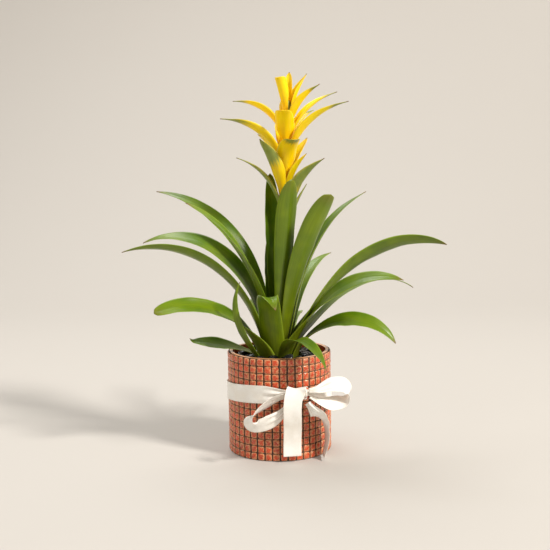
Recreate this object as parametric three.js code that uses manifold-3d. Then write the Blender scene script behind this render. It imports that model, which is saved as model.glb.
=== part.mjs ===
// A potted bromeliad: a Guzmania rosette with a yellow flower head, planted in a mosaic pot
// that is tied with a satin ribbon. Millimetres, +Z up, origin on the table under the pot's axis.
// -Y is the front, where the bow is.
import * as THREE from 'three';
import Module from 'manifold-3d';
import { mergeVertices } from 'three/addons/utils/BufferGeometryUtils.js';

const wasm = await Module();
wasm.setup();

// ---------------------------------------------------------------- driving dimensions
const GAP = 0.3;

const POT_HEIGHT = 126;
const POT_RADIUS = 65;
const SKIN_THICKNESS = 2.6;
const POT_WALL = 3.6;
const POT_FLOOR = 6;
const POT_SIDES = 76;

const SOIL_TOP = 104;
const PEBBLE_TOP = 124.5;
const PEBBLE_BUMP = 2.6;
const CROWN_RADIUS = 24;
const CROWN_MOUTH = 31;

const STEM_BASE_RADIUS = 4.6;
const STEM_TOP_RADIUS = 3;
const STEM_TOP = 436;
const STEM_SHIFT = 17;
const STEM_BASE_X = -2;

const ROSETTE_BASE = SOIL_TOP + GAP;
const SHEATH_INNER_RADIUS = 6.4;
const SHEATH_STEP = 1.5;
const SHEATH_WRAP = 52;
const LEAF_THICKNESS = 0.8;
const BRACT_THICKNESS = 0.7;
const BRACT_ROOT = 1;
const TIP_HALF_WIDTH = 0.5;
const FLARE_START = 12;
const FLARE_REACH = 38;

const RIBBON_WIDTH = 22;
const RIBBON_THICKNESS = 0.8;
const BAND_CLEARANCE = 0.6;
const BAND_MIDDLE = 76.5;
const BAND_TILT = -0.1;
const KNOT = [26, -69, 84];
const KNOT_SIZE = [7.5, 5.5, 7.5];

// ---------------------------------------------------------------- small helpers
const radians = THREE.MathUtils.degToRad;
const lerp = THREE.MathUtils.lerp;

function ease(value) {
  return THREE.MathUtils.smoothstep(value, 0, 1);
}

function material(colour, roughness, metalness = 0) {
  return new THREE.MeshStandardMaterial({ color: colour, roughness, metalness });
}

function named(name, geometry, look) {
  const mesh = new THREE.Mesh(geometry, look);
  mesh.name = name;
  return mesh;
}

// The flower stalk leans to the right as it rises.
function stemPoint(z) {
  const rise = (z - SOIL_TOP) / (STEM_TOP - SOIL_TOP);
  return new THREE.Vector3(STEM_BASE_X + STEM_SHIFT * rise, 0, z);
}

// A closed strip through cross-sections. Each section lists its upper face from edge to edge,
// then its under face back again, so it holds 2 * (across + 1) points. Both faces are split
// along the same diagonals, so that a twisted strip keeps its thickness.
function loft(sections, across) {
  const ring = 2 * (across + 1);
  const last = (sections.length - 1) * ring;
  const faces = [];
  for (let start = 0; start < last; start += ring) {
    for (let k = 0; k < ring; k += 1) {
      const a = start + k;
      const b = start + (k + 1) % ring;
      const upper = [a, a + ring, b, b, a + ring, b + ring];
      const under = [a, a + ring, b + ring, a, b + ring, b];
      faces.push(...(k < across ? upper : under));
    }
  }
  for (const [start, flip] of [[0, false], [last, true]]) {
    for (let j = 0; j < across; j += 1) {
      const top = start + j;
      const under = start + ring - 1 - j;
      const corners = [under, top, top + 1, under, top + 1, under - 1];
      faces.push(...(flip ? corners.reverse() : corners));
    }
  }
  const geometry = new THREE.BufferGeometry();
  geometry.setFromPoints(sections.flat());
  geometry.setIndex(faces);
  return geometry;
}

// ---------------------------------------------------------------- blades: leaves and bracts
// A blade starts on a circle about the stalk and is swept along a curve that leans out from it.
//   azimuth  compass direction it grows in, 0 = +X, 90 = +Y
//   lean     angle from the vertical at the root, bend = what is added to it by the tip
//   flare    further lean that comes in just above the sheath
//   power    how late the bend comes, sway = how far the direction swings sideways by the tip
//   width    full width at its widest, at the share `widest` of the length
//   point    tip form, 0.5 is rounded and 1.4 is drawn out
//   cup      radius of the channel across it, twist = roll about its own line by the tip
const LEAF_FORM = {
  flare: 0, power: 1, sway: 0, width: 26, widest: 0.5, point: 0.75, cup: 26, twist: 0, wrap: 0.3,
};
const BRACT_FORM = {
  flare: 0, power: 1, sway: 0, width: 20, widest: 0.45, point: 0.85, cup: 12, twist: 0, wrap: 0.4,
};

function bladeHalfWidth(blade, s) {
  const widest = blade.width / 2;
  const taper = Math.max(0, (s - blade.widest) / (1 - blade.widest));
  const grown = lerp(blade.rootHalfWidth, widest, ease(s / blade.widest));
  return Math.max(TIP_HALF_WIDTH, grown * (1 - taper * taper) ** blade.point);
}

function bladeFrame(blade, s) {
  const flare = blade.flare * ease((s * blade.length - FLARE_START) / FLARE_REACH);
  const lean = radians(blade.lean + flare + blade.bend * s ** blade.power);
  const turn = radians(blade.azimuth + blade.sway * s * s);
  const along = new THREE.Vector3(
    Math.sin(lean) * Math.cos(turn), Math.sin(lean) * Math.sin(turn), Math.cos(lean));
  const side = new THREE.Vector3(-Math.sin(turn), Math.cos(turn), 0);
  const face = along.clone().cross(side);
  const roll = radians(blade.twist * ease((s - 0.1) / 0.6));
  const rolledSide = side.clone().multiplyScalar(Math.cos(roll)).addScaledVector(face, Math.sin(roll));
  const rolledFace = along.clone().cross(rolledSide);
  return { along, side: rolledSide, face: rolledFace };
}

function bladePoint(blade, origin, frame, s, q, offset) {
  const curl = lerp(1 / blade.rootRadius, 1 / blade.cup, ease(s / blade.wrap));
  const angle = q * bladeHalfWidth(blade, s) * curl;
  const radius = 1 / curl - offset;
  return origin.clone()
    .addScaledVector(frame.side, radius * Math.sin(angle))
    .addScaledVector(frame.face, 1 / curl - radius * Math.cos(angle));
}

function bladeGeometry(blade, steps, across, grow = 0) {
  const heading = radians(blade.azimuth);
  const outward = new THREE.Vector3(Math.cos(heading), Math.sin(heading), 0);
  const origin = stemPoint(blade.rootHeight).addScaledVector(outward, blade.rootRadius);
  const sections = [];
  for (let i = 0; i <= steps; i += 1) {
    const s = i / steps;
    const frame = bladeFrame(blade, s);
    const section = [];
    for (const face of [1, -1]) {
      for (let j = 0; j <= across; j += 1) {
        const q = face * (2 * j / across - 1);
        section.push(bladePoint(blade, origin, frame, s, q, face * (blade.thickness / 2 + grow)));
      }
    }
    sections.push(section);
    origin.addScaledVector(bladeFrame(blade, s + 0.5 / steps).along, blade.length / steps);
  }
  return loft(sections, across);
}

// ---------------------------------------------------------------- rosette
// `layer` nests the sheaths: 0 clasps the stalk, and each next layer is one step further out.
// `clasp` is how far a sheath reaches round to each side, `rise` how far up its root sits.
const LEAVES = [
  { layer: 0, azimuth: -62, length: 238, lean: 4, bend: 9, width: 31, widest: 0.8, point: 0.5, cup: 20 },
  { layer: 0, azimuth: 112, length: 242, lean: 0.5, bend: 4, width: 22, widest: 0.75, point: 0.5,
    cup: 16 },
  { layer: 2, azimuth: -36, length: 232, lean: 4.5, bend: 32, power: 1.3, width: 31, widest: 0.8,
    point: 0.34, cup: 24, twist: -25 },
  { layer: 1, azimuth: 135, length: 155, lean: 1.4, bend: 4, width: 20, point: 0.7, cup: 18 },
  { layer: 3, azimuth: 22, length: 256, lean: 9, bend: 57, power: 2, width: 29, point: 0.9, cup: 17 },
  { layer: 2, azimuth: 158, length: 298, lean: 1.6, bend: 84, power: 1.45, width: 25, point: 0.9, cup: 22,
    twist: -30 },
  { layer: 3, azimuth: 218, length: 256, lean: 3.5, bend: 62, power: 1.35, width: 27, point: 0.7, cup: 22,
    twist: -35 },
  { layer: 4, azimuth: 50, length: 182, lean: 8.2, bend: 72, power: 2, width: 24, point: 0.8, cup: 24,
    flare: 6 },
  { layer: 6, azimuth: 3, length: 280, lean: 6, bend: 80, power: 2.3, width: 29, point: 0.7, cup: 28,
    twist: -46, flare: 26, clasp: 58 },
  { layer: 4, azimuth: 165, length: 270, lean: 3, bend: 112, power: 1.5, width: 31, point: 0.8, cup: 28,
    twist: -25, clasp: 60 },
  { layer: 5, azimuth: 92, length: 236, lean: 5.5, bend: 86, width: 26, cup: 26, flare: 9, clasp: 32 },
  { layer: 8, azimuth: -25, length: 210, lean: 9, bend: 80, power: 1.9, width: 28, point: 0.85, cup: 40,
    twist: 38, flare: 18, clasp: 60 },
  { layer: 6, azimuth: 188, length: 264, lean: 5, bend: 97, power: 1.4, width: 29, point: 0.85, cup: 26,
    twist: 28, flare: 5, clasp: 66 },
  { layer: 9, azimuth: 14, length: 216, lean: 11, bend: 88, power: 2.4, width: 22, point: 0.85, cup: 60,
    flare: 28 },
  { layer: 7, azimuth: -109, length: 150, lean: 8, bend: 138, power: 2.6, sway: 45, width: 31, point: 0.8,
    cup: 22, clasp: 60 },
  { layer: 7, azimuth: 108, length: 132, lean: 8.5, bend: 84, width: 24, cup: 30, flare: 4 },
  { layer: 11, azimuth: -15, length: 168, lean: 13, bend: 110, power: 1.8, width: 28, point: 0.8, cup: 34,
    twist: 32, flare: 28, clasp: 36 },
  { layer: 9, azimuth: 200, length: 180, lean: 10, bend: 101, width: 26, widest: 0.72, point: 0.38,
    cup: 34, twist: -35, power: 1, clasp: 76 },
  { layer: 10, azimuth: 76, length: 140, lean: 16, bend: 88, width: 24, cup: 30, flare: 10 },
  { layer: 10, azimuth: 224, length: 128, lean: 40, bend: -72, power: 2.4, sway: -20, width: 9,
    point: 0.9, cup: 9, twist: 50, clasp: 14 },
  { layer: 12, azimuth: -71, length: 114, lean: 16, bend: 148, power: 1.05, width: 23, point: 0.8,
    cup: 22, rise: 10, sway: 55, clasp: 22 },
  { layer: 14, azimuth: 188, length: 88, lean: 55, bend: 30, power: 0.5, width: 23, widest: 0.55,
    point: 0.9, cup: 30, twist: -30, rise: 14, clasp: 24 },
];
const LEAF_STEPS = 11;
const LEAF_ACROSS = 4;
const LEAF_LOOK = material(0x5f8a1e, 0.45);

function leafBlade(leaf) {
  const rootRadius = SHEATH_INNER_RADIUS + SHEATH_STEP * leaf.layer;
  return {
    ...LEAF_FORM,
    ...leaf,
    rootRadius,
    rootHeight: ROSETTE_BASE + (leaf.rise ?? 0),
    rootHalfWidth: rootRadius * radians(leaf.clasp ?? SHEATH_WRAP),
    thickness: LEAF_THICKNESS,
  };
}

// ---------------------------------------------------------------- bracts on the stalk
// `height` is where the bract clasps the stalk.
const SCAPE_BRACTS = [
  { height: 262, azimuth: 2, length: 76, lean: 10, bend: 20, width: 17, point: 0.8, cup: 10 },
  { height: 278, azimuth: 44, length: 82, lean: 14, bend: 30, width: 19, point: 0.9, cup: 10 },
  { height: 290, azimuth: -25, length: 92, lean: 17, bend: 40, power: 1.3, width: 33, point: 0.9,
    cup: 12 },
  { height: 301, azimuth: 176, length: 88, lean: 14, bend: 58, power: 1.3, width: 18, point: 1.1,
    cup: 9 },
  { height: 307, azimuth: 92, length: 80, lean: 13, bend: 40, width: 19, point: 0.9, cup: 10 },
  { height: 316, azimuth: -128, length: 84, lean: 16, bend: 28, width: 28, point: 0.9, cup: 9 },
];
const FLOWER_BRACTS = [
  { height: 325, azimuth: -22, length: 52, lean: 17, bend: 24, width: 19, point: 0.8, cup: 9 },
  { height: 332, azimuth: 42, length: 68, lean: 21, bend: 20, width: 20, point: 0.8, cup: 10 },
  { height: 338, azimuth: -72, length: 64, lean: 13, bend: 70, power: 2, width: 33, point: 0.5, cup: 14 },
  { height: 345, azimuth: 138, length: 66, lean: 16, bend: 46, width: 25, point: 0.9, cup: 10 },
  { height: 352, azimuth: -168, length: 104, lean: 15, bend: 72, width: 28, point: 1.1, cup: 10 },
  { height: 358, azimuth: 96, length: 80, lean: 18, bend: 55, width: 27, point: 0.9, cup: 10 },
  { height: 364, azimuth: -17, length: 106, lean: 18, bend: 60, width: 24, point: 1.1, cup: 10 },
  { height: 371.5, azimuth: 54, length: 82, lean: 17, bend: 60, width: 21, point: 1, cup: 10 },
  { height: 377, azimuth: -98, length: 56, lean: 14, bend: 60, power: 2, width: 30, point: 0.5,
    cup: 12.5 },
  { height: 384.5, azimuth: 19, length: 92, lean: 18, bend: 56, width: 20, point: 1.1, cup: 9 },
  { height: 389, azimuth: 176, length: 82, lean: 17, bend: 72, width: 25, point: 1.1, cup: 9 },
  { height: 394, azimuth: 92, length: 62, lean: 15, bend: 46, width: 20, point: 1, cup: 9 },
  { height: 400, azimuth: -25, length: 68, lean: 14, bend: 46, width: 22, point: 1.1, cup: 8 },
  { height: 407, azimuth: 80, length: 56, lean: 13, bend: 34, width: 17, point: 1, cup: 8 },
  { height: 414, azimuth: 18, length: 58, lean: 12, bend: 20, width: 20, point: 1, cup: 7 },
  { height: 420, azimuth: -150, length: 44, lean: 14, bend: 4, width: 31, widest: 0.8, point: 0.25,
    cup: 6.6 },
  { height: 428, azimuth: 75, length: 42, lean: 7, bend: 2, width: 15, point: 0.8, cup: 5 },
];
const BRACT_STEPS = 7;
const BRACT_ACROSS = 4;
const BRACT_WRAP = 80;
const SCAPE_LOOK = material(0x6f8f22, 0.45);
const FLOWER_LOOK = material(0xf2bd12, 0.4);

function stemRadius(z) {
  const rise = (z - SOIL_TOP) / (STEM_TOP - SOIL_TOP);
  return lerp(STEM_BASE_RADIUS, STEM_TOP_RADIUS, rise);
}

function bractBlade(bract) {
  const rootRadius = stemRadius(bract.height) + BRACT_ROOT;
  return {
    ...BRACT_FORM,
    ...bract,
    rootRadius,
    rootHeight: bract.height,
    rootHalfWidth: rootRadius * radians(BRACT_WRAP),
    thickness: BRACT_THICKNESS,
  };
}

function numbered(prefix, index) {
  return `${prefix}_${String(index + 1).padStart(2, '0')}`;
}

// ---------------------------------------------------------------- pot, soil, pebbles, stalk
function turned(profile, sides) {
  const points = profile.map(([r, z]) => new THREE.Vector2(r, z));
  const geometry = new THREE.LatheGeometry(points, sides);
  geometry.rotateX(Math.PI / 2);
  return geometry;
}

const POT_OUTER = POT_RADIUS - SKIN_THICKNESS - GAP;
const POT_INNER = POT_OUTER - POT_WALL;

function pot() {
  return turned([
    [0, 0], [POT_OUTER, 0], [POT_OUTER, POT_HEIGHT], [POT_INNER, POT_HEIGHT],
    [POT_INNER, POT_FLOOR], [0, POT_FLOOR],
  ], POT_SIDES);
}

function mosaicSkin() {
  const inner = POT_RADIUS - SKIN_THICKNESS;
  const foot = GAP;
  const rim = POT_HEIGHT - GAP;
  return turned([
    [inner, foot], [POT_RADIUS, foot], [POT_RADIUS, rim], [inner, rim], [inner, foot],
  ], POT_SIDES);
}

function soil() {
  const radius = POT_INNER - GAP;
  return turned([[0, POT_FLOOR + GAP], [radius, POT_FLOOR + GAP], [radius, SOIL_TOP], [0, SOIL_TOP]], 48);
}

function solid(geometry) {
  const bare = geometry.clone();
  bare.deleteAttribute('normal');
  bare.deleteAttribute('uv');
  const merged = mergeVertices(bare);
  return new wasm.Manifold(new wasm.Mesh({
    numProp: 3,
    vertProperties: merged.getAttribute('position').array,
    triVerts: merged.index.array,
  }));
}

function geometryOf(body) {
  const mesh = body.getMesh();
  const geometry = new THREE.BufferGeometry();
  geometry.setAttribute('position', new THREE.BufferAttribute(mesh.vertProperties, 3));
  geometry.setIndex(new THREE.BufferAttribute(mesh.triVerts, 1));
  return geometry;
}

// One ring of pebbles, bumpy on top, around the rosette's crown, with room for the sheaths.
// What a low leaf would cut off above itself is left out.
function pebbleBed() {
  const outer = POT_INNER - GAP;
  const floor = SOIL_TOP + GAP;
  const low = PEBBLE_TOP - PEBBLE_BUMP;
  let bed = solid(turned([
    [CROWN_RADIUS, floor], [outer, floor], [outer, low], [outer - 7, PEBBLE_TOP], [outer - 13, low],
    [outer - 20, PEBBLE_TOP], [CROWN_MOUTH, low], [CROWN_RADIUS, floor],
  ], 48));
  for (const leaf of LEAVES) {
    const blade = leafBlade(leaf);
    const room = { ...blade, width: blade.width + 2 * GAP, rootHalfWidth: blade.rootHalfWidth + GAP };
    bed = bed.subtract(solid(bladeGeometry(room, LEAF_STEPS, LEAF_ACROSS, GAP)));
  }
  const [largest] = bed.decompose().sort((a, b) => b.volume() - a.volume());
  return geometryOf(largest);
}

function stem() {
  const steps = 6;
  const sides = 10;
  const side = Array.from({ length: steps + 1 }, (_, i) => [1, i / steps]);
  const geometry = turned([[0, 0], ...side, [0, 1]], sides);
  const position = geometry.getAttribute('position');
  for (let i = 0; i < position.count; i += 1) {
    const z = lerp(ROSETTE_BASE, STEM_TOP, position.getZ(i));
    const centre = stemPoint(z);
    const radius = stemRadius(z);
    position.setXYZ(i, centre.x + radius * position.getX(i), radius * position.getY(i), z);
  }
  return geometry;
}

// ---------------------------------------------------------------- satin ribbon
// One ribbon, modelled in the stretches that the knot divides. A route is a list of
// [centre point, direction of the ribbon's width].
const LEFT_LOOP = [
  [[17, -70.5, 86], [0.1, -0.85, 0.4]],
  [[5, -76, 84], [0, -0.8, 0.6]],
  [[-9, -80, 79], [0.1, -0.75, 0.65]],
  [[-25, -85, 69], [0.3, -0.65, 0.65]],
  [[-35, -86, 57], [0.5, -0.6, 0.6]],
  [[-29, -84, 50], [0.2, -0.55, 0.8]],
  [[-14, -80, 53], [-0.2, -0.45, 0.87]],
  [[1, -77, 62], [-0.3, -0.45, 0.85]],
  [[16, -72, 78], [-0.3, -0.6, 0.6]],
];
const RIGHT_LOOP = [
  [[35, -67, 88], [0.3, 0.8, 0.35]],
  [[48, -67, 90], [0.35, 0.78, 0.5]],
  [[64, -62, 94], [0.35, 0.75, 0.52]],
  [[78, -57, 92], [0.3, 0.75, 0.52]],
  [[84, -55, 83], [0.25, 0.8, 0.5]],
  [[78, -57, 74], [0.3, 0.75, 0.5]],
  [[64, -62, 71], [0.35, 0.75, 0.45]],
  [[50, -67, 74], [0.35, 0.8, 0.35]],
  [[36, -68, 81], [0.3, 0.85, 0.2]],
];
const FRONT_TAIL = [
  [[20, -79, 92], [1, 0.15, 0]],
  [[16, -84, 83], [1, 0.15, 0]],
  [[15, -84, 71], [1, 0.15, 0]],
  [[15, -80, 56], [1, 0.17, 0]],
  [[15, -74, 40], [1, 0.17, 0]],
  [[14.5, -70, 24], [1, 0.17, 0]],
  [[14.5, -69.5, 8], [1, 0.17, 0]],
];
const SIDE_TAIL = [
  [[33, -75, 75], [0.4, -0.3, 0.8]],
  [[42, -76, 64], [0.5, -0.5, 0.7]],
  [[49, -71, 56], [0.4, -0.85, 0.3]],
  [[54, -62, 46], [0.25, -0.97, 0]],
  [[57, -55, 33], [0.2, -0.98, 0]],
  [[56.5, -53, 20], [0.15, -1, 0]],
  [[52.5, -54, 3], [0.05, -1, 0]],
];
const LOOP_STEPS = 20;
const TAIL_STEPS = 12;
const PINCH = 0.36;
const PINCH_REACH = 0.28;
const SATIN_LOOK = material(0xf3eee2, 0.35);

// The ribbon is gathered where it leaves the knot: at both ends of a loop, at the top of a tail.
function gathered(t, ends) {
  const reach = ends === 2 ? Math.min(t, 1 - t) : t;
  return ends === 0 ? 1 : lerp(PINCH, 1, ease(reach / PINCH_REACH));
}

function ribbon(route, steps, ends) {
  const path = new THREE.CatmullRomCurve3(route.map(([point]) => new THREE.Vector3(...point)));
  const widths = new THREE.CatmullRomCurve3(route.map(([, width]) => new THREE.Vector3(...width)));
  const sections = [];
  for (let i = 0; i <= steps; i += 1) {
    const t = i / steps;
    const half = RIBBON_WIDTH / 2 * gathered(t, ends);
    const along = path.getTangent(t);
    const side = widths.getPoint(t).projectOnPlane(along).normalize();
    const face = along.clone().cross(side).multiplyScalar(RIBBON_THICKNESS / 2);
    const corner = (q, up) => path.getPoint(t).addScaledVector(side, q * half).addScaledVector(face, up);
    sections.push([corner(-1, 1), corner(1, 1), corner(1, -1), corner(-1, -1)]);
  }
  return loft(sections, 1);
}

// The band rides higher at the front, where the knot pulls it up.
function ribbonBand() {
  const inner = POT_RADIUS + BAND_CLEARANCE;
  const outer = inner + RIBBON_THICKNESS;
  const low = BAND_MIDDLE - RIBBON_WIDTH / 2;
  const high = BAND_MIDDLE + RIBBON_WIDTH / 2;
  const geometry = turned([[inner, low], [outer, low], [outer, high], [inner, high], [inner, low]], POT_SIDES);
  const tilt = new THREE.Matrix4().set(1, 0, 0, 0, 0, 1, 0, 0, 0, BAND_TILT, 1, 0, 0, 0, 0, 1);
  return geometry.applyMatrix4(tilt);
}

function bowKnot() {
  const geometry = new THREE.SphereGeometry(1, 14, 9);
  return geometry.scale(...KNOT_SIZE).translate(...KNOT);
}

// ---------------------------------------------------------------- assembly
function leafGeometry(leaf) {
  return bladeGeometry(leafBlade(leaf), LEAF_STEPS, LEAF_ACROSS);
}

function bractGeometry(bract) {
  return bladeGeometry(bractBlade(bract), BRACT_STEPS, BRACT_ACROSS);
}

const plant = new THREE.Group();
plant.add(named('pot', pot(), material(0xb4502c, 0.5)));
plant.add(named('mosaic_skin', mosaicSkin(), material(0xd9622f, 0.35)));
plant.add(named('soil', soil(), material(0x2a211b, 0.95)));
plant.add(named('pebble_bed', pebbleBed(), material(0x1b1c1f, 0.3)));
plant.add(named('stem', stem(), material(0x8a9a3a, 0.5)));
LEAVES.forEach((leaf, i) => {
  plant.add(named(numbered('leaf', i), leafGeometry(leaf), LEAF_LOOK));
});
SCAPE_BRACTS.forEach((bract, i) => {
  plant.add(named(numbered('scape_bract', i), bractGeometry(bract), SCAPE_LOOK));
});
FLOWER_BRACTS.forEach((bract, i) => {
  plant.add(named(numbered('flower_bract', i), bractGeometry(bract), FLOWER_LOOK));
});
plant.add(named('ribbon_band', ribbonBand(), SATIN_LOOK));
plant.add(named('bow_knot', bowKnot(), SATIN_LOOK));
plant.add(named('bow_loop_left', ribbon(LEFT_LOOP, LOOP_STEPS, 2), SATIN_LOOK));
plant.add(named('bow_loop_right', ribbon(RIGHT_LOOP, LOOP_STEPS, 2), SATIN_LOOK));
plant.add(named('ribbon_tail_front', ribbon(FRONT_TAIL, TAIL_STEPS, 0), SATIN_LOOK));
plant.add(named('ribbon_tail_side', ribbon(SIDE_TAIL, TAIL_STEPS, 1), SATIN_LOOK));

export default plant;
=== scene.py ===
import math
import random

import bpy
from mathutils import Matrix, Vector, noise
from mathutils.bvhtree import BVHTree


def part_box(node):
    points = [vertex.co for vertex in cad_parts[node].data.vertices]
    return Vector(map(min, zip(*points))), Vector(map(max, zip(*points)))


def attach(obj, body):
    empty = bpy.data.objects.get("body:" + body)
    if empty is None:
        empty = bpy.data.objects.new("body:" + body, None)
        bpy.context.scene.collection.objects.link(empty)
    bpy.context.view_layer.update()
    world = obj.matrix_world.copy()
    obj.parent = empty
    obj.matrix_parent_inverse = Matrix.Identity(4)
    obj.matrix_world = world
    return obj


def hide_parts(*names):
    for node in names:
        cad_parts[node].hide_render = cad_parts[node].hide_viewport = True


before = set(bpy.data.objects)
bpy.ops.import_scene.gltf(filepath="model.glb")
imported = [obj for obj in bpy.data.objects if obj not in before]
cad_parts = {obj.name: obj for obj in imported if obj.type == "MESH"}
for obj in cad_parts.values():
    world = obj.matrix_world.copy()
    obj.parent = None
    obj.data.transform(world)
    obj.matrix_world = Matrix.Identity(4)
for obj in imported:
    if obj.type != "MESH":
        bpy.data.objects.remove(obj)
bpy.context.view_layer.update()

MM = 0.001
SCENE = bpy.context.scene


# ---------------------------------------------------------------- small helpers
def lerp(a, b, t):
    return a + (b - a) * t


def clamp(value, low=0.0, high=1.0):
    return max(low, min(high, value))


def ease(value):
    value = clamp(value)
    return value * value * (3 - 2 * value)


def srgb(red, green, blue):
    """A screen colour, 0 to 255, as the linear colour that a shader takes."""
    def linear(c):
        c /= 255
        return c / 12.92 if c <= 0.04045 else ((c + 0.055) / 1.055) ** 2.4
    return (linear(red), linear(green), linear(blue), 1.0)


def box_mm(node):
    low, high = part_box(node)
    return low / MM, high / MM


def add_piece(name, points, faces, look, replaces=(), values=None):
    """A smooth-shaded mesh piece from points in millimetres, with named numbers on its points."""
    mesh = bpy.data.meshes.new(name)
    mesh.from_pydata([(x * MM, y * MM, z * MM) for x, y, z in points], [], faces)
    mesh.shade_smooth()
    for key, numbers in (values or {}).items():
        mesh.attributes.new(key, "FLOAT", "POINT").data.foreach_set("value", numbers)
    mesh.materials.append(look)
    piece = bpy.data.objects.new(name, mesh)
    SCENE.collection.objects.link(piece)
    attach(piece, "root")
    if replaces:
        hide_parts(*replaces)
    return piece


def strip_faces(sections, ring):
    """Quads between closed cross-sections of `ring` points, with both ends closed."""
    faces = []
    for i in range(sections - 1):
        for k in range(ring):
            a = i * ring + k
            b = i * ring + (k + 1) % ring
            faces.append((a, a + ring, b + ring, b))
    for start, flip in ((0, False), ((sections - 1) * ring, True)):
        for j in range(ring // 2 - 1):
            corners = (start + ring - 1 - j, start + j, start + j + 1, start + ring - 2 - j)
            faces.append(corners[::-1] if flip else corners)
    return faces


# ---------------------------------------------------------------- material helpers
def add(tree, kind, inputs=None, **settings):
    made = tree.nodes.new("ShaderNode" + kind)
    for key, value in settings.items():
        setattr(made, key, value)
    for key, value in (inputs or {}).items():
        if isinstance(value, bpy.types.NodeSocket):
            tree.links.new(value, made.inputs[key])
        else:
            made.inputs[key].default_value = value
    return made


def new_look(name):
    look = bpy.data.materials.new(name)
    look.use_nodes = True
    tree = look.node_tree
    return look, tree, tree.nodes["Principled BSDF"]


def attribute(tree, name):
    return add(tree, "Attribute", attribute_name=name).outputs["Fac"]


def place(tree):
    return add(tree, "TexCoord").outputs["Object"]


def maths(tree, operation, *values):
    return add(tree, "Math", dict(enumerate(values)), operation=operation).outputs[0]


def mapped(tree, value, low, high, to_low=0.0, to_high=1.0):
    inputs = {"Value": value, "From Min": low, "From Max": high, "To Min": to_low, "To Max": to_high}
    return add(tree, "MapRange", inputs, interpolation_type="SMOOTHSTEP").outputs[0]


def ramp(tree, value, stops):
    made = add(tree, "ValToRGB", {"Fac": value})
    elements = made.color_ramp.elements
    while len(elements) < len(stops):
        elements.new(0.5)
    for element, (position, colour) in zip(elements, stops):
        element.position = position
        element.color = colour
    return made.outputs["Color"]


def mixed(tree, share, first, second, blend="MIX"):
    made = add(tree, "Mix", {0: share, 6: first, 7: second}, data_type="RGBA", blend_type=blend)
    return made.outputs[2]


def noisy(tree, vector, scale, detail=3.0, roughness=0.55):
    inputs = {"Vector": vector, "Scale": scale, "Detail": detail, "Roughness": roughness}
    return add(tree, "TexNoise", inputs).outputs["Fac"]


def bump(tree, height, strength, distance, under=None):
    inputs = {"Height": height, "Strength": strength, "Distance": distance}
    if under is not None:
        inputs["Normal"] = under
    return add(tree, "Bump", inputs).outputs["Normal"]


def finish_look(tree, shader, links, **values):
    for name, socket in links.items():
        tree.links.new(socket, shader.inputs[name])
    for name, value in values.items():
        shader.inputs[name.replace("_", " ")].default_value = value


def vein_noise(tree, count, tint):
    """Fine lines that run the length of a blade and close up with it towards the tip."""
    along = attribute(tree, "along")
    vector = add(tree, "CombineXYZ", {
        "X": maths(tree, "MULTIPLY", attribute(tree, "across"), count),
        "Y": maths(tree, "MULTIPLY", along, 3.0),
        "Z": maths(tree, "MULTIPLY", tint, 40.0),
    }).outputs[0]
    return noisy(tree, vector, 1.0, 4.0, 0.65)


# ---------------------------------------------------------------- looks
def leaf_look():
    look, tree, shader = new_look("leaf_green")
    along, across, upper = (attribute(tree, n) for n in ("along", "across", "upper"))
    tint, dry = attribute(tree, "tint"), attribute(tree, "dry")
    veins = vein_noise(tree, 16.0, tint)
    green = ramp(tree, along, [
        (0.0, srgb(72, 62, 6)), (0.16, srgb(78, 78, 4)), (0.36, srgb(86, 108, 2)),
        (0.62, srgb(86, 120, 2)), (0.92, srgb(108, 138, 6)), (1.0, srgb(128, 122, 34)),
    ])
    pale = mixed(tree, maths(tree, "MULTIPLY", maths(tree, "SUBTRACT", 1.0, upper), 0.4),
                 green, srgb(120, 128, 30))
    deep = mixed(tree, mapped(tree, tint, 0.0, 1.0, 0.0, 0.4), pale, srgb(50, 74, 2))
    patches = noisy(tree, place(tree), 34.0, 2.0)
    patched = mixed(tree, mapped(tree, patches, 0.35, 0.72, 0.0, 0.5), deep, srgb(132, 150, 8))
    lined = mixed(tree, mapped(tree, veins, 0.3, 0.75, 0.0, 0.35), patched, srgb(44, 64, 1))
    # Lighter yellow-green margins: partly the leaf's own paler edge, partly painted glow of light shining
    # through the thin margins.
    margin_and_glow = mapped(tree, maths(tree, "ABSOLUTE", across), 0.86, 1.0, 0.0, 0.4)
    edged = mixed(tree, margin_and_glow, lined, srgb(160, 178, 50))
    dried = mixed(tree, dry, edged, srgb(122, 92, 56))
    rough = mapped(tree, veins, 0.2, 0.8, 0.3, 0.42)
    fine = noisy(tree, place(tree), 900.0, 2.0)
    pores = bump(tree, fine, 0.05, 0.0002)
    finish_look(tree, shader, {
        "Base Color": dried, "Roughness": rough,
        "Normal": bump(tree, veins, 0.22, 0.0004, pores),
    }, Subsurface_Weight=0.1, Subsurface_Scale=0.0025, Specular_IOR_Level=0.36)
    shader.inputs["Subsurface Radius"].default_value = (0.5, 1.0, 0.05)
    return look


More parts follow.
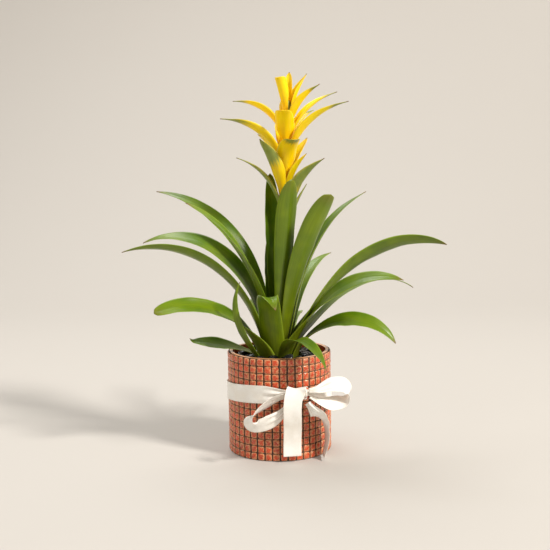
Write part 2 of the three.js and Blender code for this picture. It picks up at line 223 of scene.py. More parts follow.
def bract_look():
    """`ripe` runs from 0, green, to 1, yellow."""
    look, tree, shader = new_look("bract_yellow")
    along, across = attribute(tree, "along"), attribute(tree, "across")
    upper, tint = attribute(tree, "upper"), attribute(tree, "tint")
    ripe, dry = attribute(tree, "ripe"), attribute(tree, "dry")
    veins = vein_noise(tree, 10.0, tint)
    yellow = ramp(tree, along, [
        (0.0, srgb(238, 180, 1)), (0.3, srgb(254, 212, 1)), (0.7, srgb(255, 222, 2)),
        (1.0, srgb(246, 208, 14)),
    ])
    warm = mixed(tree, mapped(tree, tint, 0.2, 1.0, 0.0, 0.25), yellow, srgb(250, 196, 1))
    patches = noisy(tree, place(tree), 60.0, 3.0)
    patched = mixed(tree, mapped(tree, patches, 0.4, 0.75, 0.0, 0.5), warm, srgb(255, 234, 16))
    green = mixed(tree, mapped(tree, patches, 0.35, 0.7), srgb(96, 128, 26), srgb(130, 150, 66))
    pale_green = mixed(tree, maths(tree, "MULTIPLY", maths(tree, "SUBTRACT", 1.0, upper), 0.4),
                       green, srgb(146, 158, 84))
    edge = maths(tree, "MULTIPLY_ADD", maths(tree, "SUBTRACT", veins, 0.5), 0.9, ripe)
    coloured = mixed(tree, mapped(tree, edge, 0.22, 0.78), pale_green, patched)
    lined = mixed(tree, mapped(tree, veins, 0.35, 0.75, 0.0, 0.16), coloured, srgb(204, 146, 4))
    # Pale yellow margins: painted highlight and glow along the thin bract edges.
    margin_and_glow = mapped(tree, maths(tree, "ABSOLUTE", across), 0.8, 1.0, 0.0, 0.3)
    edged = mixed(tree, margin_and_glow, lined, srgb(248, 216, 70))
    dried = mixed(tree, dry, edged, srgb(112, 86, 58))
    finish_look(tree, shader, {
        "Base Color": dried, "Roughness": mapped(tree, veins, 0.2, 0.8, 0.34, 0.48),
        "Normal": bump(tree, veins, 0.2, 0.0004),
    }, Subsurface_Weight=0.18, Subsurface_Scale=0.003, Specular_IOR_Level=0.36)
    shader.inputs["Subsurface Radius"].default_value = (1.0, 0.7, 0.1)
    return look


def stalk_look():
    look, tree, shader = new_look("stalk_green")
    stretched = add(tree, "Mapping", {"Vector": place(tree), "Scale": (900, 900, 60)}).outputs[0]
    grain = noisy(tree, stretched, 1.0)
    colour = mixed(tree, mapped(tree, grain, 0.3, 0.7), srgb(120, 132, 44), srgb(168, 172, 78))
    links = {"Base Color": colour, "Normal": bump(tree, grain, 0.3, 0.0004)}
    finish_look(tree, shader, links, Roughness=0.45)
    return look


def tile_look():
    """Crackled glass: a deep red-orange core, peach towards the edges, fine cracks between cells."""
    look, tree, shader = new_look("tile_glass")
    where, edge, tint = place(tree), attribute(tree, "edge"), attribute(tree, "tint")
    wobble = noisy(tree, where, 380.0, 4.0, 0.6)
    cells = add(tree, "TexVoronoi", {"Vector": where, "Scale": 520.0}, feature="F1")
    cracks = add(tree, "TexVoronoi", {"Vector": where, "Scale": 520.0}, feature="DISTANCE_TO_EDGE")
    core = mixed(tree, tint, srgb(158, 34, 8), srgb(216, 66, 12))
    flecks = mixed(tree, mapped(tree, cells.outputs["Color"], 0.2, 0.9, 0.0, 0.4), core, srgb(232, 92, 30))
    rim = maths(tree, "MULTIPLY_ADD", maths(tree, "SUBTRACT", wobble, 0.5), 2.8, edge)
    peach = mixed(tree, mapped(tree, rim, 0.15, 0.9, 0.0, 0.9), flecks, srgb(214, 152, 104))
    line = mapped(tree, cracks.outputs["Distance"], 0.0, 0.06, 0.3, 0.0)
    cracked = mixed(tree, line, peach, srgb(232, 178, 132))
    height = maths(tree, "MULTIPLY_ADD", wobble, 0.6, mapped(tree, cracks.outputs["Distance"], 0.0, 0.1))
    finish_look(tree, shader, {
        "Base Color": cracked, "Roughness": mapped(tree, wobble, 0.3, 0.7, 0.16, 0.34),
        "Normal": bump(tree, height, 0.35, 0.0005),
    }, Coat_Weight=0.35, Coat_Roughness=0.12, Specular_IOR_Level=0.5)
    return look


def grout_look():
    look, tree, shader = new_look("grout_dark")
    grit = noisy(tree, place(tree), 700.0, 4.0)
    colour = mixed(tree, mapped(tree, grit, 0.35, 0.75), srgb(40, 30, 28), srgb(112, 74, 54))
    links = {"Base Color": colour, "Normal": bump(tree, grit, 0.6, 0.0006)}
    finish_look(tree, shader, links, Roughness=0.8)
    return look


def pot_look():
    """The glass wall behind the tiles: orange inside, with a peach line round the cut rim."""
    look, tree, shader = new_look("pot_glass")
    where = place(tree)
    height = add(tree, "SeparateXYZ", {"Vector": where}).outputs["Z"]
    swirl = noisy(tree, where, 60.0, 4.0)
    wall = mixed(tree, mapped(tree, swirl, 0.3, 0.7), srgb(196, 84, 38), srgb(226, 116, 62))
    top = (CAD_POT_TOP - 1.2) * MM
    rim = mixed(tree, mapped(tree, height, top, top + 0.0012), wall, srgb(224, 160, 112))
    finish_look(tree, shader, {
        "Base Color": rim, "Roughness": mapped(tree, swirl, 0.3, 0.7, 0.2, 0.32),
        "Normal": bump(tree, noisy(tree, where, 300.0), 0.15, 0.0005),
    }, Coat_Weight=0.3, Coat_Roughness=0.1)
    return look


def pebble_look():
    look, tree, shader = new_look("pebble_black")
    where, tint = place(tree), attribute(tree, "tint")
    grain = noisy(tree, where, 260.0, 5.0)
    base = mixed(tree, tint, srgb(12, 12, 14), srgb(36, 37, 41))
    colour = mixed(tree, mapped(tree, grain, 0.45, 0.8, 0.0, 0.5), base, srgb(62, 64, 68))
    fine = noisy(tree, where, 1500.0, 3.0)
    finish_look(tree, shader, {
        "Base Color": colour, "Roughness": mapped(tree, grain, 0.3, 0.7, 0.14, 0.34),
        "Normal": bump(tree, fine, 0.1, 0.0003),
    }, Specular_IOR_Level=0.6)
    return look


def soil_look():
    look, tree, shader = new_look("soil_dark")
    crumbs = noisy(tree, place(tree), 380.0, 6.0, 0.7)
    colour = ramp(tree, crumbs, [
        (0.3, srgb(26, 20, 16)), (0.55, srgb(58, 44, 33)), (0.75, srgb(104, 80, 58)),
    ])
    links = {"Base Color": colour, "Normal": bump(tree, crumbs, 0.9, 0.002)}
    finish_look(tree, shader, links, Roughness=0.95)
    return look


def satin_look():
    """Ivory satin: fine threads along and across, a thicker woven edge, a soft sheen."""
    look, tree, shader = new_look("ribbon_satin")
    along, across = attribute(tree, "run"), attribute(tree, "across")
    warp = add(tree, "TexWave", {
        "Vector": add(tree, "CombineXYZ", {"X": maths(tree, "MULTIPLY", across, 12.0)}).outputs[0],
        "Scale": 1.3, "Distortion": 0.4, "Detail": 2.0}, wave_type="BANDS")
    threads = {"X": along, "Y": maths(tree, "MULTIPLY", across, 2.0)}
    weft = noisy(tree, add(tree, "CombineXYZ", threads).outputs[0], 2.4, 3.0)
    edge = mapped(tree, maths(tree, "ABSOLUTE", across), 0.9, 0.96)
    cloudy = noisy(tree, place(tree), 55.0, 3.0)
    ivory = mixed(tree, mapped(tree, cloudy, 0.3, 0.7), srgb(247, 242, 232), srgb(253, 251, 245))
    threaded = mixed(tree, mapped(tree, weft, 0.35, 0.7, 0.0, 0.16), ivory, srgb(214, 202, 182))
    edged = mixed(tree, maths(tree, "MULTIPLY", edge, 0.35), threaded, srgb(226, 216, 196))
    height = maths(tree, "MULTIPLY_ADD", warp.outputs["Fac"], 0.4, weft)
    finish_look(tree, shader, {
        "Base Color": edged, "Roughness": mapped(tree, weft, 0.2, 0.8, 0.34, 0.46),
        "Normal": bump(tree, maths(tree, "ADD", height, edge), 0.18, 0.0003),
    }, Sheen_Weight=0.25, Sheen_Roughness=0.35, Specular_IOR_Level=0.5)
    return look


def stage_look(name, colour, roughness):
    look, tree, shader = new_look(name)
    cloud = noisy(tree, place(tree), 3.0, 3.0)
    shade = mixed(tree, mapped(tree, cloud, 0.3, 0.7, 0.0, 0.04), colour, srgb(182, 176, 167))
    finish_look(tree, shader, {"Base Color": shade}, Roughness=roughness, Emission_Color=colour,
                Emission_Strength=0.12)
    return look


# ---------------------------------------------------------------- camera, stage and lights
CAMERA_PLACE = Vector((0, -1.2193, 0.3649))
CAMERA_LENS_MM = 64.36
CAMERA_PITCH = -0.1182
CAMERA_YAW = -0.0031
CAMERA_ROLL = -0.0139


def make_camera():
    forward = Vector((
        math.sin(CAMERA_YAW) * math.cos(CAMERA_PITCH),
        math.cos(CAMERA_YAW) * math.cos(CAMERA_PITCH),
        math.sin(CAMERA_PITCH)))
    level = forward.cross(Vector((0, 0, 1))).normalized()
    upright = level.cross(forward)
    right = level * math.cos(CAMERA_ROLL) + upright * math.sin(CAMERA_ROLL)
    up = -level * math.sin(CAMERA_ROLL) + upright * math.cos(CAMERA_ROLL)
    camera = bpy.data.objects.new("camera", bpy.data.cameras.new("camera"))
    camera.data.lens = CAMERA_LENS_MM
    camera.data.sensor_width = 36
    facing = Matrix((right, up, -forward)).transposed().to_4x4()
    camera.matrix_world = Matrix.Translation(CAMERA_PLACE) @ facing
    SCENE.collection.objects.link(camera)
    SCENE.camera = camera


def make_stage():
    """A pale floor that curves up into a pale wall well behind the plant."""
    front, bend_start, wall_top, half_span = -9.0, 1.1, 5.0, 9.0
    bend, steps = 1.5, 24
    outline = [(front, 0.0), (bend_start, 0.0)]
    for i in range(1, steps + 1):
        angle = math.pi / 2 * i / steps
        outline.append((bend_start + bend * math.sin(angle), bend - bend * math.cos(angle)))
    outline.append((bend_start + bend, wall_top))
    points = [(x, y, z) for y, z in outline for x in (-half_span, half_span)]
    faces = [(2 * i, 2 * i + 1, 2 * i + 3, 2 * i + 2) for i in range(len(outline) - 1)]
    mesh = bpy.data.meshes.new("studio_floor")
    mesh.from_pydata(points, [], faces)
    mesh.shade_smooth()
    mesh.materials.append(stage_look("studio_pale", srgb(188, 183, 176), 0.7))
    floor = bpy.data.objects.new("studio_floor", mesh)
    SCENE.collection.objects.link(floor)


def add_light(name, place_m, target_m, size_m, watts, colour):
    data = bpy.data.lights.new(name, "AREA")
    data.shape = "DISK"
    data.size = size_m
    data.energy = watts
    data.color = colour
    light = bpy.data.objects.new(name, data)
    light.location = place_m
    light.rotation_euler = (Vector(target_m) - Vector(place_m)).to_track_quat("-Z", "Y").to_euler()
    light.visible_camera = False
    SCENE.collection.objects.link(light)


def make_lights():
    add_light("key", (3.2, -2.2, 3.4), (0, 0, 0.2), 0.9, 300, (1.0, 0.97, 0.93))
    add_light("fill", (-1.6, -1.6, 1.2), (0, 0, 0.2), 1.6, 8, (1.0, 0.97, 0.94))
    add_light("top", (-0.5, 1.0, 2.2), (0, 0, 0.25), 1.2, 26, (0.98, 0.99, 1.0))
    add_light("side", (-2.4, 0.2, 1.6), (0, 0, 0.3), 1.0, 10, (1.0, 0.99, 0.97))
    world = bpy.data.worlds.new("studio")
    SCENE.world = world
    world.use_nodes = True
    background = world.node_tree.nodes["Background"]
    background.inputs["Color"].default_value = srgb(238, 231, 221)
    background.inputs["Strength"].default_value = 0.36
    SCENE.view_settings.view_transform = "Standard"


# ---------------------------------------------------------------- blades: leaves and bracts
# The blades follow the frame's own solids: the same roots, leans, bends, widths and twists.
#   azimuth  compass direction it grows in, 0 = +X, 90 = +Y
#   lean     angle from the vertical at the root, bend = what is added to it by the tip
#   flare    further lean that comes in just above the sheath
#   power    how late the bend comes, sway = how far the direction swings sideways by the tip
#   width    full width at its widest, at the share `widest` of the length
#   point    tip form, 0.5 is rounded and 1.4 is drawn out
#   cup      radius of the channel across it, twist = roll about its own line by the tip
#   layer    which leaf sheath it is, counted outwards, rise = how far above the rosette's base
#   clasp    angle that the sheath goes round to each side, wrap = share of the length it opens over
#   wave     how wavy the edges are, hook = extra lean in the last tenth, dry = share dried at the tip
#   height   where a bract leaves the stem
#   tip      how green a bract's tip is; it is also green from the share green_from of its length
#            onwards, and fully green by green_to
LEAF_FORM = dict(power=1, sway=0, flare=0, width=26, widest=0.5, point=0.75, cup=26, twist=0, wrap=0.3,
                 rise=0, clasp=52, wave=0.8, hook=0, dry=0.03)
BRACT_FORM = dict(power=1, sway=0, flare=0, width=20, widest=0.45, point=0.85, cup=12, twist=0, wrap=0.4,
                  wave=0.4, hook=0, dry=0.05, green_from=2.0, green_to=3.0, tip=0.5)
LEAVES = [
    dict(layer=0, azimuth=-62, length=238, lean=4, bend=9, width=31, widest=0.8, point=0.5, cup=20, dry=0),
    dict(layer=0, azimuth=112, length=242, lean=0.5, bend=4, width=22, widest=0.75, point=0.5, cup=16,
         dry=0),
    dict(layer=2, azimuth=-36, length=232, lean=4.5, bend=32, power=1.3, width=31, widest=0.8, point=0.34,
         cup=24, twist=-25, dry=0),
    dict(layer=1, azimuth=135, length=155, lean=1.4, bend=4, width=20, point=0.7, cup=18),
    dict(layer=3, azimuth=22, length=256, lean=9, bend=57, power=2, width=29, point=0.9, cup=17),
    dict(layer=2, azimuth=158, length=298, lean=1.6, bend=84, power=1.45, width=25, point=0.9, cup=22,
         twist=-30),
    dict(layer=3, azimuth=218, length=256, lean=3.5, bend=62, power=1.35, width=27, point=0.7, cup=22,
         twist=-35),
    dict(layer=4, azimuth=50, length=182, lean=8.2, bend=72, power=2, width=24, point=0.8, cup=24, flare=6),
    dict(layer=6, azimuth=3, length=280, lean=6, bend=80, power=2.3, width=29, point=0.7, cup=28, twist=-46,
         flare=26, clasp=58),
    dict(layer=4, azimuth=165, length=270, lean=3, bend=112, power=1.5, width=31, point=0.8, cup=28,
         twist=-25, clasp=60),
    dict(layer=5, azimuth=92, length=236, lean=5.5, bend=86, width=26, cup=26, flare=9, clasp=32),
    dict(layer=8, azimuth=-25, length=210, lean=9, bend=80, power=1.9, width=28, point=0.85, cup=40,
         twist=38, flare=18, clasp=60),
    dict(layer=6, azimuth=188, length=264, lean=5, bend=97, power=1.4, width=29, point=0.85, cup=26,
         twist=28, flare=5, clasp=66),
    dict(layer=9, azimuth=14, length=216, lean=11, bend=88, power=2.4, width=22, point=0.85, cup=60,
         flare=28),
    dict(layer=7, azimuth=-109, length=150, lean=8, bend=138, power=2.6, sway=45, width=31, point=0.8,
         cup=22, clasp=60),
    dict(layer=7, azimuth=108, length=132, lean=8.5, bend=84, width=24, cup=30, flare=4),
    dict(layer=11, azimuth=-15, length=168, lean=13, bend=110, power=1.8, width=28, point=0.8, cup=34,
         twist=32, flare=28, clasp=36),
    dict(layer=9, azimuth=200, length=180, lean=10, bend=101, width=26, widest=0.72, point=0.38, cup=34,
         twist=-35, dry=0, clasp=76),
    dict(layer=10, azimuth=76, length=140, lean=16, bend=88, width=24, cup=30, flare=10),
    dict(layer=10, azimuth=224, length=128, lean=40, bend=-72, power=2.4, sway=-20, width=9, point=0.9,
         cup=9, twist=50, clasp=14),
    dict(layer=12, azimuth=-71, length=114, lean=16, bend=148, power=1.05, width=23, point=0.8, cup=22,
         rise=10, sway=55, clasp=22),
    dict(layer=14, azimuth=188, length=88, lean=55, bend=30, power=0.5, width=23, widest=0.55, point=0.9,
         cup=30, twist=-30, rise=14, clasp=24, hook=-45),
]
SCAPE_BRACTS = [
    dict(height=262, azimuth=2, length=76, lean=10, bend=20, width=17, point=0.8, cup=10, green_from=-0.1,
         green_to=0.5),
    dict(height=278, azimuth=44, length=82, lean=14, bend=30, width=19, point=0.9, cup=10, green_from=-0.1,
         green_to=0.5),
    dict(height=290, azimuth=-25, length=92, lean=17, bend=40, power=1.3, width=33, point=0.9, cup=12,
         green_from=0.0, green_to=0.75),
    dict(height=301, azimuth=176, length=88, lean=14, bend=58, power=1.3, width=18, point=1.1, cup=9,
         green_from=-0.4, green_to=0.3),
    dict(height=307, azimuth=92, length=80, lean=13, bend=40, width=19, point=0.9, cup=10, green_from=0.1,
         green_to=0.7),
    dict(height=316, azimuth=-128, length=84, lean=16, bend=28, width=28, point=0.9, cup=9, green_from=0.3,
         green_to=0.8),
]
FLOWER_BRACTS = [
    dict(height=325, azimuth=-22, length=52, lean=17, bend=24, width=19, point=0.8, cup=9, tip=0.2),
    dict(height=332, azimuth=42, length=68, lean=21, bend=20, width=20, point=0.8, cup=10, tip=0.3),
    dict(height=338, azimuth=-72, length=64, lean=13, bend=70, power=2, width=33, point=0.5, cup=14,
         tip=0.7, dry=0),
    dict(height=345, azimuth=138, length=66, lean=16, bend=46, width=25, point=0.9, cup=10),
    dict(height=352, azimuth=-168, length=104, lean=15, bend=72, width=28, point=1.1, cup=10, tip=0.8,
         green_from=0.4, green_to=1.1),
    dict(height=358, azimuth=96, length=80, lean=18, bend=55, width=27, point=0.9, cup=10, tip=0.8),
    dict(height=364, azimuth=-17, length=106, lean=18, bend=60, width=24, point=1.1, cup=10, tip=1.0),
    dict(height=371.5, azimuth=54, length=82, lean=17, bend=60, width=21, point=1, cup=10, tip=0.8),
    dict(height=377, azimuth=-98, length=56, lean=14, bend=60, power=2, width=30, point=0.5, cup=12.5,
         tip=0, dry=0),
    dict(height=384.5, azimuth=19, length=92, lean=18, bend=56, width=20, point=1.1, cup=9, tip=0.9),
    dict(height=389, azimuth=176, length=82, lean=17, bend=72, width=25, point=1.1, cup=9, tip=0.8),
    dict(height=394, azimuth=92, length=62, lean=15, bend=46, width=20, point=1, cup=9),
    dict(height=400, azimuth=-25, length=68, lean=14, bend=46, width=22, point=1.1, cup=8, tip=0.8),
    dict(height=407, azimuth=80, length=56, lean=13, bend=34, width=17, point=1, cup=8),
    dict(height=414, azimuth=18, length=58, lean=12, bend=20, width=20, point=1, cup=7, tip=0.2),
    dict(height=420, azimuth=-150, length=44, lean=14, bend=4, width=31, widest=0.8, point=0.25, cup=6.6,
         tip=0, dry=0),
    dict(height=428, azimuth=75, length=42, lean=7, bend=2, width=15, point=0.8, cup=5, tip=0),
]

CAD_POT_TOP = box_mm("pot")[1].z
SOIL_TOP = box_mm("soil")[1].z
STEM_LOW, STEM_HIGH = box_mm("stem")
STEM_BASE_RADIUS = 4.6
STEM_TOP_RADIUS = 3.0
STEM_BASE_X = -2.0
STEM_SHIFT = 17.0
ROSETTE_BASE = STEM_LOW.z
SHEATH_INNER_RADIUS = 6.4
SHEATH_STEP = 1.5
BRACT_ROOT = 1.0
BRACT_WRAP = 80
TIP_HALF_WIDTH = 0.5
FLARE_START = 12.0
FLARE_REACH = 38.0
LEAF_THICKNESS = 0.8
BRACT_THICKNESS = 0.7
MARGIN_THICKNESS = 0.3
LEAF_STEPS = 76
BRACT_STEPS = 44
BLADE_ACROSS = 14
BRACT_RING_WIDTH = 1.6


def stem_rise(z):
    return (z - SOIL_TOP) / (STEM_HIGH.z - SOIL_TOP)


def stem_point(z):
    return Vector((STEM_BASE_X + STEM_SHIFT * stem_rise(z), 0, z))


def stem_radius(z):
    return lerp(STEM_BASE_RADIUS, STEM_TOP_RADIUS, stem_rise(z))


def half_width(blade, s):
    taper = max(0.0, (s - blade["widest"]) / (1 - blade["widest"]))
    grown = lerp(blade["root_half"], blade["width"] / 2, ease(s / blade["widest"]))
    return max(TIP_HALF_WIDTH, grown * max(0.0, 1 - taper * taper) ** blade["point"])


def blade_frame(blade, s):
    """Directions along the blade, across it and out of its upper face."""
    hook = blade["hook"] * ease((s - 0.9) / 0.1)
    flare = blade["flare"] * ease((s * blade["length"] - FLARE_START) / FLARE_REACH)
    lean = math.radians(blade["lean"] + flare + blade["bend"] * s ** blade["power"] + hook)
    turn = math.radians(blade["azimuth"] + blade["sway"] * s * s)
    roll = math.radians(blade["twist"] * ease((s - 0.1) / 0.6))
    along = Vector((math.sin(lean) * math.cos(turn), math.sin(lean) * math.sin(turn), math.cos(lean)))
    side = Vector((-math.sin(turn), math.cos(turn), 0))
    side = side * math.cos(roll) + along.cross(side) * math.sin(roll)
    return along, side, along.cross(side)


def ripeness(blade, s, upper, q):
    """How yellow a bract is there: 1 is yellow, 0 is green."""
    green = ease((s - blade["green_from"]) / (blade["green_to"] - blade["green_from"]))
    tip = blade["tip"] * ease((s - 0.66) / 0.3)
    under = 0.0 if upper else 0.15
    return clamp(1 - max(green, tip) - under * (1 - q * q) * ease((s - 0.3) / 0.6))


def dryness(blade, s):
    """How dried up the blade is there, from 0 to 1 at the tip."""
    return ease((s - 1 + blade["dry"]) / (blade["dry"] + 0.001)) if blade["dry"] else 0.0


def make_blade(name, blade, steps, across, look):
    rng = random.Random(name)
    tint = rng.random()
    phase = rng.uniform(0, 50)
    ruffle = rng.uniform(0.5, 1.0) * blade["wave"]
    heading = math.radians(blade["azimuth"])
    outward = Vector((math.cos(heading), math.sin(heading), 0))
    origin = stem_point(blade["root_height"]) + outward * blade["root_radius"]
    points, numbers = [], {key: [] for key in ("along", "across", "upper", "tint", "ripe", "dry")}
    for i in range(steps + 1):
        s = i / steps
        _, side, face = blade_frame(blade, s)
        curl = lerp(1 / blade["root_radius"], 1 / blade["cup"], ease(s / blade["wrap"]))
        half = half_width(blade, s)
        free = ease((s - 0.3) / 0.3) * (1 - 0.6 * s)
        for upper in (1, -1):
            for j in range(across + 1):
                q = upper * (2 * j / across - 1)
                thick = lerp(blade["thickness"], MARGIN_THICKNESS, abs(q) ** 3) / 2
                sway = noise.noise(Vector((s * 5, q * 0.7, phase)))
                edge = noise.noise(Vector((s * 11, 3 * (q > 0), phase + 9)))
                lift = free * (ruffle * 1.2 * sway + ruffle * 2.2 * edge * abs(q) ** 3)
                crease = 0.3 * math.exp(-(q / 0.09) ** 2) * ease((s - 0.12) / 0.2)
                angle = q * half * curl
                radius = 1 / curl - upper * thick - lift + crease
                height = 1 / curl - radius * math.cos(angle)
                points.append(origin + side * radius * math.sin(angle) + face * height)
                numbers["along"].append(s)
                numbers["across"].append(q)
                numbers["upper"].append(1.0 if upper > 0 else 0.0)
                numbers["tint"].append(tint)
                numbers["ripe"].append(ripeness(blade, s, upper > 0, q) if "tip" in blade else 0.0)
                numbers["dry"].append(dryness(blade, s))
        origin = origin + blade_frame(blade, s + 0.5 / steps)[0] * blade["length"] / steps
    faces = strip_faces(steps + 1, 2 * (across + 1))
    return add_piece(name + "_blade", points, faces, look, (name,), numbers)


def make_leaves():
    look = leaf_look()
    made = []
    for i, leaf in enumerate(LEAVES):
        blade = {**LEAF_FORM, **leaf}
        blade["root_radius"] = SHEATH_INNER_RADIUS + SHEATH_STEP * blade["layer"]
        blade["root_height"] = ROSETTE_BASE + blade["rise"]
        blade["root_half"] = blade["root_radius"] * math.radians(blade["clasp"])
        blade["thickness"] = LEAF_THICKNESS
        made.append(make_blade(f"leaf_{i + 1:02d}", blade, LEAF_STEPS, BLADE_ACROSS, look))
    return made


def make_bracts():
    look = bract_look()
    kinds = (
        ("scape_bract", SCAPE_BRACTS, "green_bract"),
        ("flower_bract", FLOWER_BRACTS, "yellow_bract"),
    )
    for prefix, table, slot in kinds:
        for i, bract in enumerate(table):
            blade = {**BRACT_FORM, **bract}
            blade["root_radius"] = stem_radius(blade["height"]) + BRACT_ROOT
            blade["root_height"] = blade["height"]
            blade["root_half"] = blade["root_radius"] * math.radians(BRACT_WRAP)
            blade["thickness"] = BRACT_THICKNESS
            make_blade(f"{prefix}_{i + 1:02d}", blade, BRACT_STEPS, BLADE_ACROSS, look)


def make_stem():
    """A tapering stalk with a faint ring where each bract joins it."""
    sides, steps = 28, 150
    nodes = [b["height"] for b in SCAPE_BRACTS + FLOWER_BRACTS]
    points = []
    for i in range(steps + 1):
        z = lerp(STEM_LOW.z, STEM_HIGH.z, i / steps)
        ring = max(math.exp(-((z - node) / BRACT_RING_WIDTH) ** 2) for node in nodes)
        tip = math.sqrt(clamp((STEM_HIGH.z - z) / 3 + 0.04))
        for k in range(sides):
            angle = 2 * math.pi * k / sides
            rib = 0.12 * math.sin(9 * angle)
            radius = (stem_radius(z) - 0.2 + 0.25 * ring + rib) * tip
            centre = stem_point(z)
            points.append((centre.x + radius * math.cos(angle), radius * math.sin(angle), z))
    faces = []
    for i in range(steps):
        for k in range(sides):
            low, n = i * sides, (k + 1) % sides
            faces.append((low + k, low + n, low + sides + n, low + sides + k))
    faces.append(tuple(reversed(range(sides))))
    faces.append(tuple(range(steps * sides, (steps + 1) * sides)))
    add_piece("flower_stalk", points, faces, stalk_look(), ("stem",))


# ---------------------------------------------------------------- pot, tiles, soil, pebbles
SKIN_LOW, SKIN_HIGH = box_mm("mosaic_skin")
TILE_COLUMNS = 42
TILE_ROWS = 14
TILE_TOP_RADIUS = SKIN_HIGH.x
TILE_BACK_RADIUS = SKIN_HIGH.x - 2.4
GROUT_RADIUS = SKIN_HIGH.x - 1.25
COLUMN_GAP = 1.5
ROW_GAP = 0.3
TILE_GRID = 8


def make_tiles():
    """Rows of small pillowed glass tiles, each set a little unevenly."""
    rng = random.Random("tiles")
    pitch_x = 2 * math.pi * TILE_TOP_RADIUS / TILE_COLUMNS
    pitch_z = (SKIN_HIGH.z - SKIN_LOW.z) / TILE_ROWS
    points, faces, numbers = [], [], {"edge": [], "tint": []}
    for column in range(TILE_COLUMNS):
        for row in range(TILE_ROWS):
            half_x = (pitch_x - COLUMN_GAP) / 2 * rng.uniform(0.95, 1.03)
            half_z = (pitch_z - ROW_GAP) / 2 * rng.uniform(0.94, 1.0)
            middle_x = column * pitch_x + rng.uniform(-0.15, 0.15)
            middle_z = SKIN_LOW.z + (row + 0.5) * pitch_z
            tilt_x, tilt_z = rng.uniform(-0.25, 0.25), rng.uniform(-0.25, 0.25)
            sink, turn, tint = rng.uniform(0, 0.25), rng.uniform(-0.03, 0.03), rng.random()
            start = len(points)
            for a in range(TILE_GRID + 1):
                for b in range(TILE_GRID + 1):
                    u, v = 2 * a / TILE_GRID - 1, 2 * b / TILE_GRID - 1
                    u, v = math.sin(u * math.pi / 2), math.sin(v * math.pi / 2)
                    rounding = 1 - 0.07 * (u * v) ** 4
                    x, z = u * half_x * rounding, v * half_z * rounding
                    x += 0.55 * abs(u) * noise.noise(Vector((z * 0.45, column * 7, row * 3 + (u > 0))))
                    z += 0.65 * abs(v) * noise.noise(Vector((x * 0.45, column * 5, row * 9 + (v > 0))))
                    fall = 1 - (1 - abs(u) ** 5) ** 0.5 * (1 - abs(v) ** 5) ** 0.5
                    dent = 0.3 * noise.noise(Vector((x * 0.5 + column * 9, z * 0.5 + row * 9, 0)))
                    lift = 1.3 * fall + sink + dent * (1 - fall) + 0.2 * (1 - fall) * (u * u + v * v) / 2
                    tilt = tilt_x * u * (1 - fall) + tilt_z * v * (1 - fall)
                    radius = min(TILE_TOP_RADIUS, TILE_TOP_RADIUS - lift + tilt)
                    angle = (middle_x + x - z * turn) / TILE_TOP_RADIUS
                    height = clamp(middle_z + z + x * turn, SKIN_LOW.z, SKIN_HIGH.z)
                    points.append((radius * math.cos(angle), radius * math.sin(angle), height))
                    numbers["edge"].append(max(abs(u), abs(v)) ** 2)
                    numbers["tint"].append(tint)
            side = TILE_GRID + 1
            for a in range(TILE_GRID):
                for b in range(TILE_GRID):
                    c = start + a * side + b
                    faces.append((c, c + side, c + side + 1, c + 1))
            border = [start + a * side for a in range(side)]
            border += [start + TILE_GRID * side + b for b in range(1, side)]
            border += [start + a * side + TILE_GRID for a in range(TILE_GRID - 1, -1, -1)]
            border += [start + b for b in range(TILE_GRID - 1, 0, -1)]
            back = len(points)
            for index in border:
                x, y, z = points[index]
                scale = TILE_BACK_RADIUS / math.hypot(x, y)
                points.append((x * scale, y * scale, z))
                numbers["edge"].append(1.0)
                numbers["tint"].append(tint)
            count = len(border)
            for k in range(count):
                n = (k + 1) % count
                faces.append((border[n], border[k], back + k, back + n))
            faces.append(tuple(back + k for k in range(count)))
    add_piece("mosaic_tiles", points, faces, tile_look(), ("mosaic_skin",), numbers)


def turned(profile, sides, shape=None):
    """A closed body of revolution from an (r, z) outline; shape moves each point."""
    points, faces = [], []
    for k in range(sides):
        angle = 2 * math.pi * k / sides
        for r, z in profile:
            point = Vector((r * math.cos(angle), r * math.sin(angle), z))
            points.append(shape(point) if shape else point)
    count = len(profile)
    for k in range(sides):
        n = (k + 1) % sides
        for j in range(count):
            i = (j + 1) % count
            faces.append((k * count + j, n * count + j, n * count + i, k * count + i))
    return points, faces


def make_grout():
    def grainy(point):
        radial = Vector((point.x, point.y, 0)).normalized()
        outer = point.xy.length > TILE_BACK_RADIUS + 0.5
        return point + radial * (0.22 * noise.noise(point * 0.6) if outer else 0)
    steps = 90
    inner = TILE_BACK_RADIUS - 0.15
    low, high = SKIN_LOW.z + 0.1, SKIN_HIGH.z - 0.1
    outline = [(GROUT_RADIUS, lerp(low, high, i / steps)) for i in range(steps + 1)]
    outline += [(inner, high), (inner, low)]
    points, faces = turned(outline, 360, grainy)
    add_piece("tile_grout", points, faces, grout_look(), ("mosaic_skin",))


def make_soil():
    low, high = box_mm("soil")
    rings = 34

    def crumbly(point):
        if point.z < high.z - 2.5 or point.xy.length > high.x - 0.5:
            return point
        lump = 1.1 * noise.noise(point * 0.16) + 0.7 * noise.noise(point * 0.5) - 0.9
        return point + Vector((0, 0, lump))
    outline = [(0.01, low.z), (high.x, low.z), (high.x, high.z - 0.6)]
    outline += [(max(0.01, high.x * (1 - i / rings)), high.z - 0.2) for i in range(rings + 1)]
    points, faces = turned(outline, 96, crumbly)
    add_piece("potting_soil", points, faces, soil_look(), ("soil",))


PEBBLES_TRIED = 420
PLACES_TRIED = 26
CROWN_RADIUS = 22
BLADE_CLEARANCE = 0.72
PEBBLE_CONTACT = 0.97


